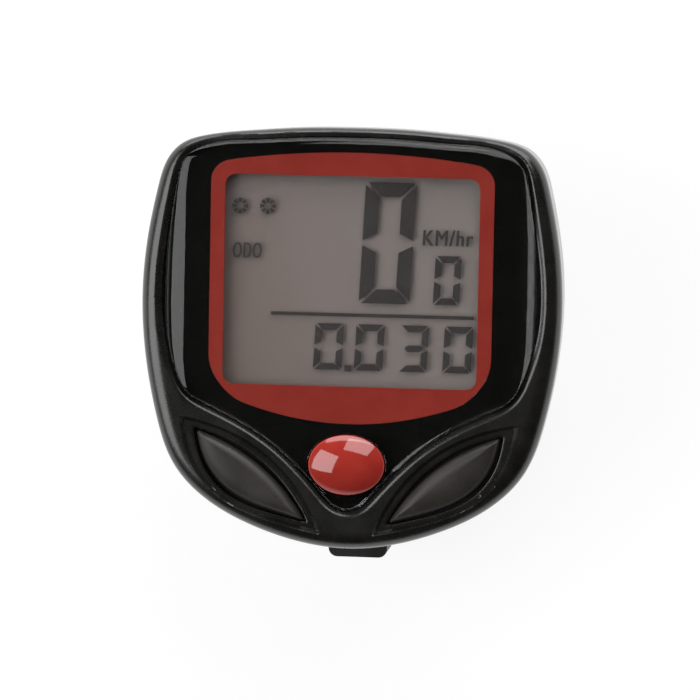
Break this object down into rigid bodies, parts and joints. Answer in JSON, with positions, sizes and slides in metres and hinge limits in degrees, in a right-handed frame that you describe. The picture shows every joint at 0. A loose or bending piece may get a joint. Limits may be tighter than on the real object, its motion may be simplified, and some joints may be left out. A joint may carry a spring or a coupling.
{
  "type": "cycling computer",
  "caption": "Wired cycling computer with a shield-shaped lens over its display, three keys and a battery lid, on a slide-off handlebar bracket with a release tongue.",
  "frame": {"origin": "on the handlebar's axis, midway along the bracket's saddle", "axes": "+X along the handlebar to the display's right, +Y towards the display's top, +Z out through the display"},
  "size_m": [0.053, 0.056, 0.0343],
  "materials": {
    "moulded_abs": "fine spark-eroded satin",
    "bracket_abs": "satin moulded",
    "grip_rubber": "matt moulded",
    "clear_lens": "polished",
    "black_print": "screen print under the lens",
    "red_print": "screen print under the lens",
    "display_glass": "polished",
    "polariser_film": "satin film",
    "white_abs": "satin moulded",
    "circuit_laminate": "solder mask",
    "epoxy": "cured drop",
    "steel": "plated",
    "brass_contact": "plated",
    "silicone": "matt",
    "key_rubber": "soft satin",
    "red_key": "polished"
  },
  "bodies": {
    "bracket": {"bracket_base": "bracket_abs", "saddle_pad": "grip_rubber", "bracket_contacts": "brass_contact"},
    "latch": {"latch_tongue": "bracket_abs"},
    "left_button": {"left_key": "key_rubber"},
    "right_button": {"right_key": "key_rubber"},
    "centre_button": {"centre_key": "red_key"},
    "battery_lid": {"battery_cover": "moulded_abs", "cover_gasket": "silicone"},
    "head": {"back_case": "moulded_abs", "top_case": "moulded_abs", "case_seal": "silicone", "case_screws": "steel", "lens": "clear_lens", "lens_mask": "black_print", "red_frame": "red_print", "front_polariser": "polariser_film", "lcd_front_glass": "display_glass", "lcd_rear_glass": "display_glass", "rear_reflector": "polariser_film", "lcd_tray": "white_abs", "zebra_strip": "silicone", "circuit_board": "circuit_laminate", "board_screws": "steel", "chip_blob": "epoxy", "crystal_can": "steel", "small_parts": "white_abs", "left_dome": "silicone", "right_dome": "silicone", "centre_dome": "silicone", "battery_cell": "steel", "negative_contact": "steel", "positive_contact": "steel", "contact_studs": "brass_contact", "spring_pins": "brass_contact"}
  },
  "joints": [
    {"name": "head_slide", "type": "slide", "parent": "bracket", "child": "head", "axis": [0, 1, 0], "range_m": [0, 0.024]},
    {"name": "latch_release", "type": "hinge", "parent": "bracket", "child": "latch", "pos_m": [0, 0.002, 0.01795], "axis": [1, 0, 0], "range_deg": [0, 4], "stiffness_Nm_per_rad": 1.5},
    {"name": "left_press", "type": "slide", "parent": "head", "child": "left_button", "axis": [0, 0, -1], "range_m": [0, 0.0006], "stiffness_N_per_m": 1500, "deforming": ["left_dome"]},
    {"name": "right_press", "type": "slide", "parent": "head", "child": "right_button", "axis": [0, 0, -1], "range_m": [0, 0.0006], "stiffness_N_per_m": 1500, "deforming": ["right_dome"]},
    {"name": "centre_press", "type": "slide", "parent": "head", "child": "centre_button", "axis": [0, 0, -1], "range_m": [0, 0.0006], "stiffness_N_per_m": 1500, "deforming": ["centre_dome"]},
    {"name": "lid_turn", "type": "hinge", "parent": "head", "child": "battery_lid", "pos_m": [0, 0.0176, 0.01975], "axis": [0, 0, 1], "range_deg": [0, 55]}
  ]
}
